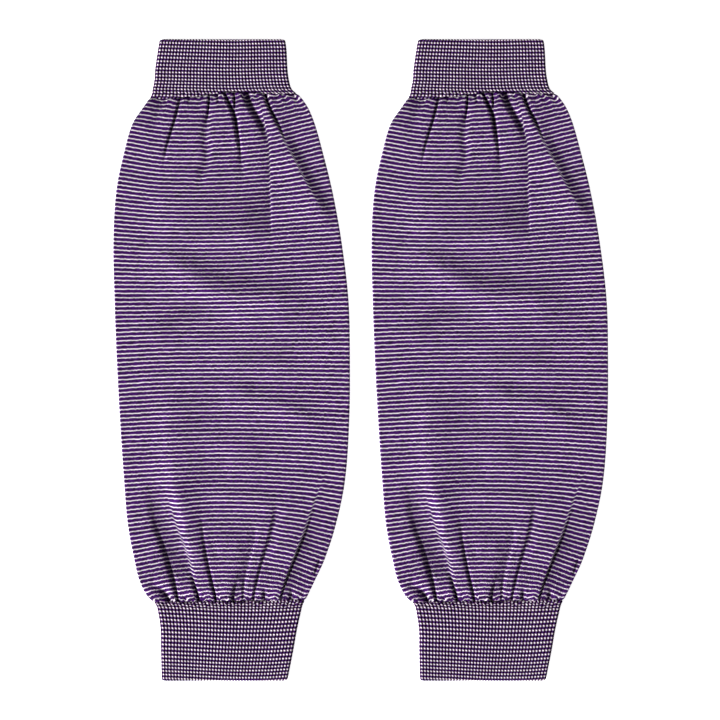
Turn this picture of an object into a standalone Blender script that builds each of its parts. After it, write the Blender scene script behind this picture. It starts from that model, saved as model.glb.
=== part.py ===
"""Pair of gathered knit oversleeves with ribbed cuffs, lying flat side by side.

Each sleeve is a flattened tube of striped knit, gathered into a short ribbed cuff at the
elbow end and into a longer one at the wrist end. Its two layers lie on each other, and
the lower one rests flat on Z = 0. +Y runs from wrist to elbow.

Sizes are in millimetres, and become metres where a mesh is made. On a sleeve, "along" is
the distance from the wrist cuff's free end, and "across" is the distance to the right of
the sleeve's centre line.
"""

from collections import namedtuple
from math import exp, hypot, pi, sin, sqrt

import bmesh
import bpy

METRES_PER_MM = 0.001

# Driving dimensions of one sleeve
SLEEVE_LENGTH = 399.8
WRIST_CUFF_LENGTH = 47.4
ELBOW_CUFF_LENGTH = 35.3
SEAM_GAP = 0.3
SLEEVE_SPACING = 160.7

# Knit thicknesses and the heights of the flattened tube
BODY_WALL = 1.5
BODY_HEIGHT = 4.2
LOWEST_BODY_HEIGHT = 3.5
HIGHEST_BODY_HEIGHT = 6.9
BODY_EDGE_ROUND = 2.5
RIB_WALL = 2.0
RIB_RELIEF = 0.6
CUFF_AIR = 0.5
CUFF_HEIGHT = 2 * RIB_WALL + CUFF_AIR
CUFF_EDGE_ROUND = CUFF_HEIGHT / 2
CUFF_END_ROUND = 0.6

# The gathers stand highest a little way past each seam, then die away
PUFF_HEIGHT = 1.3
PUFF_RISE = 9.0
WRIST_PUFF_LENGTH = 62.0
ELBOW_PUFF_LENGTH = 44.0
STITCHED_SHARE = 0.35

# How finely the solids are divided
RIBS_ACROSS = 43
BODY_TOP_COLUMNS = 44
BODY_ROWS = 27
CUFF_ROWS = 5
UNDERSIDE_COLUMNS = 6
CUFF_INSIDE_COLUMNS = 10
EDGE_CROWDING = 0.3
SEAM_CROWDING = 0.7

# Outline of the sleeve as it lies: the edges' distances from the centre line
Section = namedtuple("Section", "along left right")
OUTLINE = (
    Section(0.0, 43.0, 34.5),
    Section(19.0, 43.8, 38.4),
    Section(31.5, 44.4, 40.9),
    Section(42.7, 45.7, 43.4),
    Section(47.7, 48.8, 44.7),
    Section(52.6, 52.5, 47.2),
    Section(62.6, 57.5, 51.5),
    Section(75.1, 60.6, 57.8),
    Section(96.9, 64.4, 64.6),
    Section(124.9, 66.8, 70.2),
    Section(162.3, 68.7, 72.7),
    Section(199.7, 71.2, 73.3),
    Section(237.1, 72.5, 72.7),
    Section(274.5, 73.7, 68.3),
    Section(305.6, 71.2, 62.7),
    Section(330.5, 66.2, 56.5),
    Section(346.7, 61.9, 52.1),
    Section(356.7, 56.3, 48.4),
    Section(364.2, 50.7, 44.0),
    Section(367.9, 49.4, 40.3),
    Section(374.2, 48.2, 35.9),
    Section(380.3, 47.5, 34.7),
    Section(392.8, 45.7, 34.1),
    Section(399.8, 44.8, 33.5),
)

# Gathers that run from a seam into the body, each a trough from the first point to the
# last. A point is (across, along). The lip is a ridge beside the trough, on its right
# where it is positive and on its left where it is negative.
Fold = namedtuple("Fold", "seam_point mid_point far_point width depth lip")
GATHERS = (
    Fold((-41.9, 361.7), (-56.9, 339.8), (-63.1, 319.3), 5.0, 0.9, 0.5),
    Fold((-32.0, 364.1), (-36.9, 344.2), (-41.9, 324.3), 2.8, 1.9, 0.9),
    Fold((-14.5, 364.1), (-17.3, 340.0), (-22.6, 306.8), 2.8, 1.4, -0.6),
    Fold((-3.3, 364.1), (1.1, 350.4), (4.4, 336.0), 2.4, 1.0, 0.5),
    Fold((3.0, 364.1), (5.4, 330.5), (6.7, 306.0), 2.8, 2.0, 0.8),
    Fold((9.8, 364.8), (19.7, 338.0), (22.9, 267.0), 4.0, 1.9, 0.7),
    Fold((21.0, 365.5), (37.5, 334.0), (57.1, 291.9), 4.0, 2.2, -1.1),
    Fold((33.0, 363.5), (37.5, 352.0), (43.5, 342.0), 2.6, 1.0, 0.5),
    Fold((-50.6, 61.4), (-45.0, 55.5), (-41.4, 51.4), 3.0, 1.0, 0.5),
    Fold((-31.3, 48.3), (-38.5, 69.0), (-51.9, 117.4), 4.2, 2.2, 1.0),
    Fold((-20.1, 51.4), (-27.0, 77.0), (-36.9, 112.5), 3.2, 2.0, 0.9),
    Fold((-9.5, 50.2), (-14.5, 75.0), (-19.5, 111.2), 3.4, 2.0, 0.8),
    Fold((0.4, 50.2), (4.2, 66.0), (14.8, 96.9), 2.8, 1.6, -0.7),
    Fold((13.5, 49.5), (17.8, 73.0), (25.4, 113.7), 3.4, 2.0, -0.8),
    Fold((20.4, 49.6), (22.0, 55.5), (24.6, 63.0), 2.6, 1.2, 0.5),
    Fold((29.5, 50.2), (38.4, 72.0), (52.1, 115.6), 4.2, 2.3, -1.1),
    Fold((36.8, 49.6), (39.5, 55.0), (43.0, 61.6), 2.6, 1.0, 0.5),
)

# Soft creases out in the body, from end to end
CREASES = (
    Fold((10.4, 296.2), (2.5, 290.0), (-5.8, 281.9), 4.0, 0.6, 0.3),
    Fold((-36.9, 273.2), (-4.0, 252.0), (39.7, 246.4), 5.0, 0.7, 0.7),
    Fold((-25.7, 233.9), (-34.0, 214.0), (-44.4, 190.3), 5.0, 0.7, 0.4),
    Fold((6.7, 202.8), (27.0, 188.0), (47.8, 176.0), 5.0, 0.7, -0.7),
    Fold((-2.1, 152.9), (5.5, 151.6), (12.9, 151.1), 3.5, 0.5, 0.2),
    Fold((-28.8, 173.5), (-25.0, 145.0), (-20.7, 117.4), 6.0, 0.7, -0.5),
    Fold((54.6, 78.0), (53.5, 70.0), (50.9, 62.6), 3.0, 0.7, 0.3),
)
LIP_OFFSET = 1.5

PURPLE_KNIT_COLOUR = (0.174, 0.115, 0.223, 1.0)
RIB_KNIT_COLOUR = (0.160, 0.105, 0.205, 1.0)

WRIST_SEAM = WRIST_CUFF_LENGTH
ELBOW_SEAM = SLEEVE_LENGTH - ELBOW_CUFF_LENGTH
WIDEST_LEFT = max(section.left for section in OUTLINE)
WIDEST_RIGHT = max(section.right for section in OUTLINE)


def smooth_step(low, high, value):
    """Rise smoothly from 0 at low to 1 at high."""
    share = min(max((value - low) / (high - low), 0.0), 1.0)
    return share * share * (3.0 - 2.0 * share)


def slope_at(index, side):
    """Slope of one edge of the outline at a row of its table."""
    before = OUTLINE[max(index - 1, 0)]
    after = OUTLINE[min(index + 1, len(OUTLINE) - 1)]
    rise = getattr(after, side) - getattr(before, side)
    return rise / (after.along - before.along)


def half_width(along, side):
    """Distance from the centre line to one edge, on a smooth curve through the table."""
    index = 0
    while index < len(OUTLINE) - 2 and OUTLINE[index + 1].along < along:
        index += 1
    here, there = OUTLINE[index], OUTLINE[index + 1]
    span = there.along - here.along
    t = min(max((along - here.along) / span, 0.0), 1.0)
    blend = t * t * (3.0 - 2.0 * t)
    leaving = t * (1.0 - t) ** 2 * span * slope_at(index, side)
    arriving = t * t * (t - 1.0) * span * slope_at(index + 1, side)
    start, end = getattr(here, side), getattr(there, side)
    return start + (end - start) * blend + leaving + arriving


def across_at(along, share):
    """Place on the sleeve for a share from -1, the left edge, to 1, the right edge."""
    side = "right" if share > 0 else "left"
    return share * half_width(along, side)


def edge_distance(across, along):
    """Distance in from the nearer edge of the sleeve."""
    side = "right" if across > 0 else "left"
    return max(half_width(along, side) - abs(across), 0.0)


def rounding(distance, radius):
    """Height share of a round edge, from 0 at the edge to 1 a radius in from it."""
    inward = 1.0 - min(max(distance / radius, 0.0), 1.0)
    return sqrt(1.0 - inward * inward)


def distance_to_run(point, start, end):
    """Signed distance of a point from a straight run, and how far along the run it is."""
    run = (end[0] - start[0], end[1] - start[1])
    offset = (point[0] - start[0], point[1] - start[1])
    length = hypot(*run)
    travel = (offset[0] * run[0] + offset[1] * run[1]) / (length * length)
    share = min(max(travel, 0.0), 1.0)
    nearest = (start[0] + share * run[0], start[1] + share * run[1])
    distance = hypot(point[0] - nearest[0], point[1] - nearest[1])
    right_of_run = 1.0 if point[0] > nearest[0] else -1.0
    return right_of_run * distance, share


def fold_relief(fold, across, along, is_gather):
    """Height that one fold adds: a soft trough with a ridge beside it."""
    point = (across, along)
    first = distance_to_run(point, fold.seam_point, fold.mid_point)
    second = distance_to_run(point, fold.mid_point, fold.far_point)
    if abs(first[0]) <= abs(second[0]):
        distance, travel = first[0], first[1] / 2
    else:
        distance, travel = second[0], (1 + second[1]) / 2
    if is_gather:
        strength = 1.0 - smooth_step(0.3, 1.0, travel)
    else:
        strength = sin(pi * travel)
    trough = -fold.depth * exp(-((distance / fold.width) ** 2))
    lip_side = 1.0 if fold.lip > 0 else -1.0
    lip_distance = distance - lip_side * LIP_OFFSET * fold.width
    lip = abs(fold.lip) * exp(-((lip_distance / fold.width) ** 2))
    return strength * (trough + lip)


def puff_share(along):
    """How far the gathers stand up at a place along the sleeve, from 0 to 1."""
    from_wrist, from_elbow = along - WRIST_SEAM, ELBOW_SEAM - along
    wrist_fall = 1.0 - smooth_step(PUFF_RISE, WRIST_PUFF_LENGTH, from_wrist)
    elbow_fall = 1.0 - smooth_step(PUFF_RISE, ELBOW_PUFF_LENGTH, from_elbow)
    wrist = smooth_step(0.0, PUFF_RISE, from_wrist) * wrist_fall
    elbow = smooth_step(0.0, PUFF_RISE, from_elbow) * elbow_fall
    return max(wrist, elbow)


def plain_height(along):
    """Height of the body without its folds: it puffs up past each seam."""
    return BODY_HEIGHT + PUFF_HEIGHT * puff_share(along)


def body_height(across, along):
    """Height of the upper layer's outside, with its gathers and creases."""
    seam_distance = min(along - WRIST_SEAM, ELBOW_SEAM - along)
    loosened = STITCHED_SHARE + (1.0 - STITCHED_SHARE) * smooth_step(0.0, PUFF_RISE, seam_distance)
    relief = loosened * sum(fold_relief(fold, across, along, True) for fold in GATHERS)
    relief += sum(fold_relief(fold, across, along, False) for fold in CREASES)
    return min(max(plain_height(along) + relief, LOWEST_BODY_HEIGHT), HIGHEST_BODY_HEIGHT)


def spread(count, crowding):
    """Places from 0 to 1 that crowd together at both ends."""
    even = [index / (count - 1) for index in range(count)]
    return [share - crowding * sin(2 * pi * share) / (2 * pi) for share in even]


def turned_shares(count, crowding):
    """Column shares from the right edge, 1, to the left edge, -1."""
    return [1.0 - 2.0 * place for place in spread(count + 1, crowding)]


def underside_outer(along, edge_height, edge_round):
    """Points of the flat underside, from the left edge to the right one, and their shares."""
    left, right = half_width(along, "left"), half_width(along, "right")
    turn = edge_round / 3
    lift = edge_height * (1.0 - rounding(turn, edge_round))
    points = [(turn - left, lift)]
    flat_width = left + right - 2 * edge_round
    for column in range(UNDERSIDE_COLUMNS + 1):
        points.append((edge_round - left + flat_width * column / UNDERSIDE_COLUMNS, 0.0))
    points.append((right - turn, lift))
    return [(across, height, under_place(across, left, right)) for across, height in points]


def under_place(across, left, right):
    """Place round the ring of a point on the underside, from 0.5 to 1."""
    return 0.5 + 0.5 * (across + left) / (left + right)


def body_rings(along):
    """Outside and inside rings of the body at one row, as (across, height, place)."""
    outer, inner = [], []
    shares = turned_shares(BODY_TOP_COLUMNS, EDGE_CROWDING)
    left, right = half_width(along, "left"), half_width(along, "right")
    edge_height = plain_height(along) / 2
    for share in shares:
        across = across_at(along, share)
        rise = rounding(edge_distance(across, along), BODY_EDGE_ROUND)
        height = edge_height + (body_height(across, along) - edge_height) * rise
        place = (1.0 - share) / 4
        outer.append((across, height, place))
        side_width = right if share > 0 else left
        within = across * (side_width - BODY_WALL) / side_width
        air = body_height(within, along) - 2 * BODY_WALL
        opening = rounding(side_width - BODY_WALL - abs(within), 2 * BODY_EDGE_ROUND)
        inner.append((within, BODY_WALL + air * opening, place))
    outer += underside_outer(along, edge_height, BODY_EDGE_ROUND)
    inner_width = left + right - 2 * BODY_WALL
    for column in range(1, UNDERSIDE_COLUMNS):
        across = BODY_WALL - left + inner_width * column / UNDERSIDE_COLUMNS
        inner.append((across, BODY_WALL, under_place(across, left, right)))
    return outer, inner


def cuff_outer(along, end_inset):
    """Outside ring of a cuff: ribs over the top and both edges, flat below."""
    ring = []
    columns = 2 * (RIBS_ACROSS - 1)
    height = CUFF_HEIGHT - end_inset
    for column in range(columns + 1):
        share = 1.0 - 2.0 * column / columns
        across = across_at(along, share)
        rise = rounding(edge_distance(across, along), CUFF_EDGE_ROUND)
        furrow = RIB_RELIEF if column % 2 else 0.0
        top = height / 2 + height / 2 * rise - furrow
        ring.append((across, top, (1.0 - share) / 4))
    return ring + underside_outer(along, height / 2, CUFF_EDGE_ROUND)


def cuff_inner(along):
    """Plain inside ring of a cuff."""
    left, right = half_width(along, "left"), half_width(along, "right")
    ring = []
    for share in turned_shares(CUFF_INSIDE_COLUMNS, 0.0):
        side_width = right if share > 0 else left
        at_edge = abs(share) == 1.0
        height = CUFF_HEIGHT / 2 if at_edge else CUFF_HEIGHT - RIB_WALL
        ring.append((share * (side_width - RIB_WALL), height, (1.0 - share) / 4))
    inner_width = left + right - 2 * RIB_WALL
    for column in range(1, UNDERSIDE_COLUMNS):
        across = RIB_WALL - left + inner_width * column / UNDERSIDE_COLUMNS
        ring.append((across, RIB_WALL, under_place(across, left, right)))
    return ring


def add_ring(mesh, along, ring):
    """Add a ring's points to a mesh, in metres, each kept with its place round the ring."""
    centre_x = (WIDEST_LEFT - WIDEST_RIGHT) / 2
    points = []
    for across, height, place in ring:
        place_mm = (across + centre_x, along - SLEEVE_LENGTH / 2, height)
        point = mesh.verts.new([value * METRES_PER_MM for value in place_mm])
        points.append((point, place))
    return points


def join_rings(mesh, first, second):
    """Fill between two rings that may have different numbers of points."""
    one, other = 0, 0
    while one < len(first) or other < len(second):
        here, there = first[one % len(first)][0], second[other % len(second)][0]
        next_one = first[one + 1][1] if one + 1 < len(first) else 1.0
        next_other = second[other + 1][1] if other + 1 < len(second) else 1.0
        step_one = other >= len(second) or (one < len(first) and next_one <= next_other)
        if step_one:
            one += 1
            mesh.faces.new((here, first[one % len(first)][0], there))
        else:
            other += 1
            mesh.faces.new((here, second[other % len(second)][0], there))


def wrap_wall(mesh, rings):
    """Join each ring of a wall's side to the next, point to point."""
    for first, second in zip(rings, rings[1:]):
        for index in range(len(first)):
            after = (index + 1) % len(first)
            corners = (first[index], first[after], second[after], second[index])
            mesh.faces.new([corner[0] for corner in corners])


def tube_object(name, outer_rows, inner_rows, material):
    """Make one closed tube wall from its outside and inside rows of (along, ring)."""
    mesh = bmesh.new()
    outer = [add_ring(mesh, along, ring) for along, ring in outer_rows]
    inner = [add_ring(mesh, along, ring) for along, ring in inner_rows]
    wrap_wall(mesh, outer)
    wrap_wall(mesh, inner)
    join_rings(mesh, outer[0], inner[0])
    join_rings(mesh, outer[-1], inner[-1])
    bmesh.ops.recalc_face_normals(mesh, faces=mesh.faces)
    data = bpy.data.meshes.new(name)
    mesh.to_mesh(data)
    mesh.free()
    data.shade_smooth()
    data.set_sharp_from_angle(angle=pi / 3)
    data.materials.append(material)
    piece = bpy.data.objects.new(name, data)
    bpy.context.scene.collection.objects.link(piece)
    return piece


def rows_between(start, end, count, crowding):
    """Places along the sleeve from start to end."""
    return [start + (end - start) * share for share in spread(count, crowding)]


def make_body(side, material):
    """Make a sleeve's striped body, between its two seams."""
    start = WRIST_SEAM + SEAM_GAP / 2
    end = ELBOW_SEAM - SEAM_GAP / 2
    rows = rows_between(start, end, BODY_ROWS, SEAM_CROWDING)
    rings = [(along, body_rings(along)) for along in rows]
    outer_rows = [(along, pair[0]) for along, pair in rings]
    inner_rows = [(along, pair[1]) for along, pair in rings]
    return tube_object(side + "_body", outer_rows, inner_rows, material)


def make_cuff(name, free_end, seam_end, material):
    """Make a ribbed cuff whose ribs round over at its free end."""
    inward = CUFF_END_ROUND if seam_end > free_end else -CUFF_END_ROUND
    outer_rows = [(free_end, cuff_outer(free_end, CUFF_END_ROUND))]
    for along in rows_between(free_end + inward, seam_end, CUFF_ROWS, 0.0):
        outer_rows.append((along, cuff_outer(along, 0.0)))
    inner_rows = [(along, cuff_inner(along)) for along in rows_between(free_end, seam_end, CUFF_ROWS, 0.0)]
    return tube_object(name, outer_rows, inner_rows, material)


def knit_material(name, colour):
    """Make a matt knit material of one colour."""
    material = bpy.data.materials.new(name)
    material.use_nodes = True
    shader = material.node_tree.nodes["Principled BSDF"]
    shader.inputs["Base Color"].default_value = colour
    shader.inputs["Roughness"].default_value = 0.9
    shader.inputs["Metallic"].default_value = 0.0
    return material


def make_sleeve(side, offset, stripe_knit, rib_knit):
    """Make one sleeve of the pair, its three pieces on an empty at its place."""
    holder = bpy.data.objects.new(side + "_sleeve", None)
    bpy.context.scene.collection.objects.link(holder)
    holder.location.x = offset * METRES_PER_MM
    pieces = (
        make_body(side, stripe_knit),
        make_cuff(side + "_wrist_cuff", 0.0, WRIST_SEAM - SEAM_GAP / 2, rib_knit),
        make_cuff(side + "_elbow_cuff", SLEEVE_LENGTH, ELBOW_SEAM + SEAM_GAP / 2, rib_knit),
    )
    for piece in pieces:
        piece.parent = holder


def main():
    """Clear the scene and make the pair."""
    for old in list(bpy.data.objects):
        bpy.data.objects.remove(old, do_unlink=True)
    stripe_knit = knit_material("stripe_knit", PURPLE_KNIT_COLOUR)
    rib_knit = knit_material("rib_knit", RIB_KNIT_COLOUR)
    make_sleeve("left", -SLEEVE_SPACING / 2, stripe_knit, rib_knit)
    make_sleeve("right", SLEEVE_SPACING / 2, stripe_knit, rib_knit)
    bpy.context.view_layer.update()


main()
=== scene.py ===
"""Looks of a pair of gathered knit oversleeves that lie flat, side by side.

Each sleeve is a tube of jersey in fine purple and white stripes, gathered at both ends
into a one-by-one rib cuff of the same yarns. Sizes are in millimetres, and become metres
where a mesh is made. On a sleeve, "along" is the distance from the wrist cuff's free end
towards the elbow, and "across" the distance to the right of the sleeve's centre line.
"""

from __future__ import annotations

import logging
import math
from collections.abc import Callable, Mapping, Sequence
from dataclasses import astuple, dataclass
from enum import Enum

import bpy
import numpy as np
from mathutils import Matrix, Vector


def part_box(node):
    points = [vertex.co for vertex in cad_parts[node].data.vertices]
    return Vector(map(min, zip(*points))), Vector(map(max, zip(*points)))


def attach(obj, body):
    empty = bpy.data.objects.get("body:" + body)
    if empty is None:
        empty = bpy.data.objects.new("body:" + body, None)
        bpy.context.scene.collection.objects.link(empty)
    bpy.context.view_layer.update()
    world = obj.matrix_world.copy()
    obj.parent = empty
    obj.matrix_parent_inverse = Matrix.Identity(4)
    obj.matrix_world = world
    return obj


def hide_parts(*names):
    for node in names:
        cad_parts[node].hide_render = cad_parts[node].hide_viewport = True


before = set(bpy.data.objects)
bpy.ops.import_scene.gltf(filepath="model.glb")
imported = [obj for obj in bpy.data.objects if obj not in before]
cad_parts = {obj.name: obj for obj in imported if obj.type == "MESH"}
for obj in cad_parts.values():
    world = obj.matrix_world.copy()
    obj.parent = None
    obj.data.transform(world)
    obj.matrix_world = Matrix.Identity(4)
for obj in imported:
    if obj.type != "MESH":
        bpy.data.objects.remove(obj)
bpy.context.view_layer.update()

LOG = logging.getLogger("oversleeves")
METRES_PER_MM = 0.001
WRIST_COVER = 2.2
COURSES_PER_STRIPE = 3

Colour = tuple[float, float, float, float]
Point = tuple[float, float]


class Side(Enum):
    """Which sleeve of the pair."""

    LEFT = "left"
    RIGHT = "right"


class End(Enum):
    """Which end of a sleeve."""

    WRIST = "wrist"
    ELBOW = "elbow"


class Slot(Enum):
    """The two knits' material slots."""

    STRIPE_KNIT = "stripe_knit"
    RIB_KNIT = "rib_knit"


def smooth_step(low: float, high: float, value: np.ndarray) -> np.ndarray:
    """Rise smoothly from 0 at low to 1 at high, and give the share reached at each value."""
    share = np.clip((value - low) / (high - low), 0.0, 1.0)
    return share * share * (3.0 - 2.0 * share)


def smooth_curve(at: np.ndarray, knots: Sequence[float], values: Sequence[float]) -> np.ndarray:
    """Follow a smooth curve through points.

    Args:
        at: Places to look up.
        knots: The points' places, in rising order.
        values: The points' heights.

    Returns:
        The curve's height at each place.
    """
    place, height = np.asarray(knots, float), np.asarray(values, float)
    last = len(place) - 1
    before = np.maximum(np.arange(last + 1) - 1, 0)
    after = np.minimum(np.arange(last + 1) + 1, last)
    slope = (height[after] - height[before]) / (place[after] - place[before])
    index = np.clip(np.searchsorted(place, at, side="right") - 1, 0, last - 1)
    span = place[index + 1] - place[index]
    part = np.clip((at - place[index]) / span, 0.0, 1.0)
    blend = part * part * (3.0 - 2.0 * part)
    leaving = part * (1.0 - part) ** 2 * span * slope[index]
    arriving = part * part * (part - 1.0) * span * slope[index + 1]
    return height[index] * (1.0 - blend) + height[index + 1] * blend + leaving + arriving


def rounding(distance: np.ndarray, radius: float) -> np.ndarray:
    """Height share of a round edge, from 0 at the edge to 1 a radius in from it."""
    inward = 1.0 - np.clip(distance / radius, 0.0, 1.0)
    return np.sqrt(1.0 - inward * inward)


def bell(distance: np.ndarray, left: float, right: float) -> np.ndarray:
    """Fall smoothly from 1 on a line, over left where the distance is positive, else over right."""
    return np.exp(-((distance / np.where(distance > 0, left, right)) ** 2))


def crowded(count: int, crowding: float) -> np.ndarray:
    """Give rising places from 0 to 1, even at crowding 0 and closer at both ends as it nears 1."""
    even = np.linspace(0.0, 1.0, count)
    return even - crowding * np.sin(2 * math.pi * even) / (2 * math.pi)


@dataclass(frozen=True)
class Section:
    """Edges of the flat sleeve at one place along it, as distances from the centre line."""

    along: float
    left: float
    right: float


@dataclass(frozen=True)
class StripeRow:
    """How many stripes too high the stripes lie at one place along, from edge to edge.

    The columns stand at the shares in STRIPE_COLUMNS of the way from the centre line to
    the edge.
    """

    along: float
    left_edge: float
    left: float
    middle: float
    right: float
    right_edge: float


@dataclass(frozen=True)
class DotRows:
    """Where the rows of white dots and the seam lie on a cuff.

    places and numbers pair distances from the mouth with row numbers, whole and a half at a
    row's middle. At the shares in STRIPE_COLUMNS, bows holds how much nearer the seam the
    rows lie, and dips how far the seam dips into the cuff.
    """

    places: tuple[float, ...]
    numbers: tuple[float, ...]
    bows: tuple[float, ...]
    dips: tuple[float, ...]


@dataclass(frozen=True)
class Slit:
    """A sharp gather that starts at a seam and dies away in the body.

    path holds (across, along) points from the seam outwards. The slit's half width is width
    at both ends and belly halfway. It keeps its depth for the share keeps of the path.
    """

    path: tuple[Point, ...]
    width: float
    belly: float
    depth: float
    keeps: float = 0.4


@dataclass(frozen=True)
class Fold:
    """A soft ridge, or a valley where its height is negative.

    left and right are how far it reaches on each side, as seen when following the path. It
    rises over the share starts of the path, and falls from the share keeps to the path's
    end. gloom is the painted shade along its line, from 0 to 1, which reaches gloom_left
    and gloom_right; beside a lap it is a painted shadow under the lip.
    slip is how many stripes higher the stripes lie on the left of the path, and sag how many
    stripes lower they lie on the path itself.
    """

    path: tuple[Point, ...]
    left: float
    right: float
    height: float
    starts: float = 0.3
    keeps: float = 0.7
    gloom: float = 0.0
    gloom_left: float = 0.8
    gloom_right: float = 0.8
    slip: float = 0.0
    sag: float = 0.0


OUTLINE = (
    Section(0, 43.7, 34.9),
    Section(19, 44.2, 38.7),
    Section(31.5, 44.4, 40.9),
    Section(42.7, 46, 43.4),
    Section(47.7, 47.6, 44.7),
    Section(52.6, 52.5, 47.2),
    Section(62.6, 57.5, 52),
    Section(75.1, 60.6, 57.8),
    Section(96.9, 64.7, 64.9),
    Section(124.9, 67.1, 70.7),
    Section(162.3, 69.6, 73.3),
    Section(199.7, 71.6, 73.7),
    Section(237.1, 73, 72.8),
    Section(274.5, 73.7, 68.3),
    Section(305.6, 71.8, 62.6),
    Section(330.5, 66.6, 56.4),
    Section(346.7, 61.8, 51.8),
    Section(356.7, 55.2, 47.6),
    Section(364.2, 50.2, 42.3),
    Section(367.9, 49.4, 37.9),
    Section(374.2, 48.2, 35.9),
    Section(380.3, 47.8, 35.1),
    Section(392.8, 46, 34.4),
    Section(399.8, 44.8, 33.5),
)

STRIPE_COLUMNS = (-1.0, -0.6, 0.0, 0.6, 1.0)

STRIPE_ROWS = (
    StripeRow(48, -2.1, -0.9, -0.9, -1, -2.7),
    StripeRow(75, -2.2, -0.8, -0.6, -1, -2.8),
    StripeRow(105, -1.7, -0.8, -0.4, -1.1, -2.4),
    StripeRow(140, -1.1, -0.6, -0.2, -0.7, -1.5),
    StripeRow(190, -0.8, -0.2, 0, -0.1, -0.3),
    StripeRow(240, -0.3, -0.3, -0.1, 0.4, 0.8),
    StripeRow(285, 0.2, -0.6, -0.6, 0.6, 1.4),
    StripeRow(335, 0.6, -0.9, -0.7, 0.4, 1.8),
    StripeRow(364, -0.4, -0.7, -0.6, -0.1, 1),
)

WRIST_DOTS = DotRows(
    places=(-2.6, 1.9, 13.1, 43.7, 45.5, 54.5),
    numbers=(-1.5, 0.5, 5.5, 17.5, 18.5, 23.4),
    bows=(2.3, 1.5, 0.3, 0.4, 1.2),
    dips=(0.9, 0.5, 0.0, -0.5, -0.9),
)

ELBOW_DOTS = DotRows(
    places=(0.0, 1.1, 3.4, 23.9, 36.1, 42.2),
    numbers=(0.0, 0.5, 1.5, 10.5, 16.5, 19.5),
    bows=(-0.5, -0.1, 0.4, 0.1, 0.0),
    dips=(-1.7, -1.5, 1.8, 1.3, 0.5),
)

# A slit's path, its half widths at both ends and halfway, and its depth.
ELBOW_SLITS = (
    Slit(
        ((-31.4, 365.5), (-32.8, 358.5), (-34.9, 350), (-38, 340), (-41.2, 328), (-43, 314)),
        0.6, 0.8, 2.6, keeps=0.5,
    ),
    Slit(((-26.6, 365.5), (-26.5, 361.5), (-26.2, 357.5)), 0.8, 0.7, 0.7),
    Slit(((-13.9, 365.5), (-14.1, 358.5), (-14.8, 352), (-15.6, 346)), 0.55, 0.55, 3.4),
    Slit(((-8.8, 365.5), (-8.5, 362), (-8.4, 358.5)), 0.8, 0.7, 1.6),
    Slit(
        ((-4.2, 365.5), (-2, 360.5), (0.6, 355), (2.3, 350), (3.9, 340), (5.5, 329), (6.3, 317)),
        0.55, 1.15, 3.6, keeps=0.5,
    ),
    Slit(((1.6, 365.5), (2, 359.5), (2.2, 353)), 0.6, 0.6, 3.2, keeps=0.5),
    Slit(
        ((9.6, 366), (11.3, 360), (13.8, 355), (16.6, 350), (19.4, 345), (21.2, 340), (22.4, 332)),
        1.8, 2, 2.6, keeps=0.6,
    ),
    Slit(
        ((20.8, 366), (22.3, 360), (25.2, 353.5), (27.4, 349.5), (31.2, 342), (34.3, 335)),
        0.8, 0.8, 3.6, keeps=0.5,
    ),
)

WRIST_SLITS = (
    Slit(((-38.2, 47.5), (-40, 52.5), (-43.3, 56.5), (-48, 60)), 0.8, 1.6, 2.5, keeps=0.5),
    Slit(
        ((-32.8, 47.5), (-34, 54), (-35.7, 62), (-39.4, 75), (-43.7, 88), (-47.8, 100), (-50.5, 114)),
        0.7, 1.3, 3, keeps=0,
    ),
    Slit(((-19.8, 47.5), (-21.2, 54), (-23.6, 62), (-25.2, 69)), 0.7, 0.8, 3.4, keeps=0.3),
    Slit(
        ((-9.4, 47.5), (-10.3, 54), (-12.2, 62), (-15.1, 75), (-17.3, 88), (-18.7, 100), (-20.5, 112)),
        0.6, 0.95, 2.9, keeps=0.1,
    ),
    Slit(((0.8, 47.5), (1.5, 54), (2.8, 59), (4.6, 64)), 0.9, 1.1, 2.2, keeps=0.5),
    Slit(((7, 47.5), (7.6, 54), (8.1, 62), (10.2, 75)), 0.7, 0.9, 1.3),
    Slit(
        ((13.2, 47.5), (14.2, 54), (15.9, 62), (19.2, 75), (23, 88), (25.2, 100)),
        0.7, 0.9, 2.2, keeps=0.25,
    ),
    Slit(((20.2, 47.5), (20.6, 54), (21.4, 60)), 1, 1.2, 2, keeps=0.5),
    Slit(
        ((29.6, 47.5), (31.4, 54), (34, 62), (39.3, 75), (44.7, 88), (49.2, 100), (53.4, 113)),
        0.5, 0.6, 2.4, keeps=0.3,
    ),
    Slit(((36.7, 47.5), (37.3, 54), (38.6, 59)), 1.4, 1.3, 1.8, keeps=0.5),
)

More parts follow.
